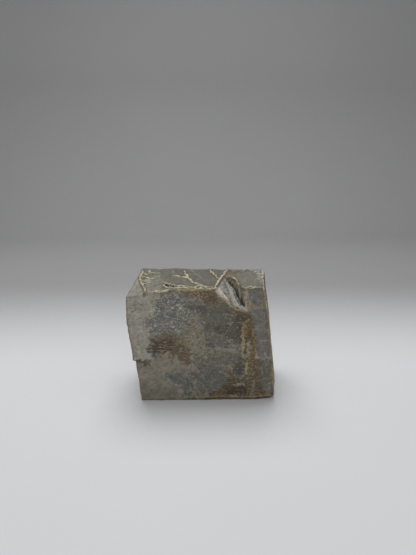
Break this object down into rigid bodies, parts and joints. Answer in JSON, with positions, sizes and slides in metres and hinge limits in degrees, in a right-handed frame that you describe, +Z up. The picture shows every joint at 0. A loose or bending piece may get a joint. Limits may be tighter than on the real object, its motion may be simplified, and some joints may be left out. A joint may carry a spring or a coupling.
{
  "type": "bar of soap",
  "caption": "Hand-cut block of cold-process soap with worn edges, a stepped side, a folded top edge and raised ridges over its top.",
  "frame": {"origin": "on the underside, under the middle of the block", "axes": "+Z up from the underside, -Y out of the broad cut face that is shown, +X to that face's right"},
  "size_m": [0.0846, 0.0414, 0.0679],
  "materials": {
    "soap": "matte, slightly waxy, mottled grey, beige and brown"
  },
  "bodies": {
    "root": {"soap_bar": "soap"}
  },
  "joints": []
}
